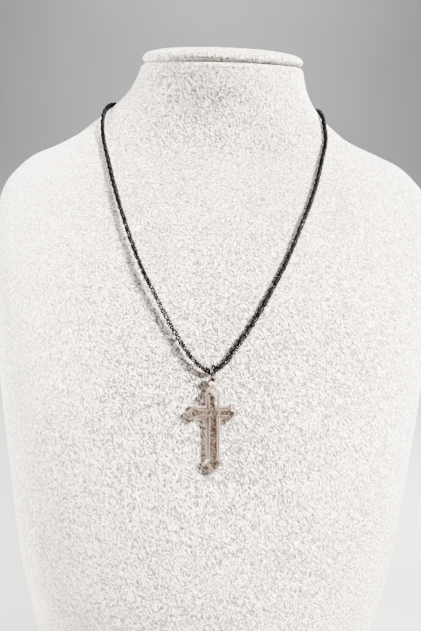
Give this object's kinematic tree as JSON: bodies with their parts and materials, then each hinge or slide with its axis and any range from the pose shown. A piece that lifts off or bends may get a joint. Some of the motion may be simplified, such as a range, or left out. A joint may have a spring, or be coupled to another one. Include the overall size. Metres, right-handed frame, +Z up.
{
  "type": "cross necklace on a neck bust",
  "caption": "Clear bevelled cross on a jump ring and black rope chain, worn by a plain velvet neck display bust.",
  "frame": {"origin": "On the ground under the middle of the whole object's width and depth, with the bust standing on its board.", "axes": "+X to the object's right as seen from the front, -Y the front where the cross hangs, +Z up."},
  "size_m": [0.2404, 0.1734, 0.341],
  "materials": {
    "velvet": "velvet",
    "black_chain": "gloss",
    "black_metal": "satin",
    "clear_acrylic": "polished"
  },
  "bodies": {
    "root": {"bust_form": "velvet", "neck_cap": "velvet", "rope_chain": "black_chain", "barrel_clasp": "black_metal", "jump_ring": "black_metal", "cross_pendant": "clear_acrylic"}
  },
  "joints": []
}
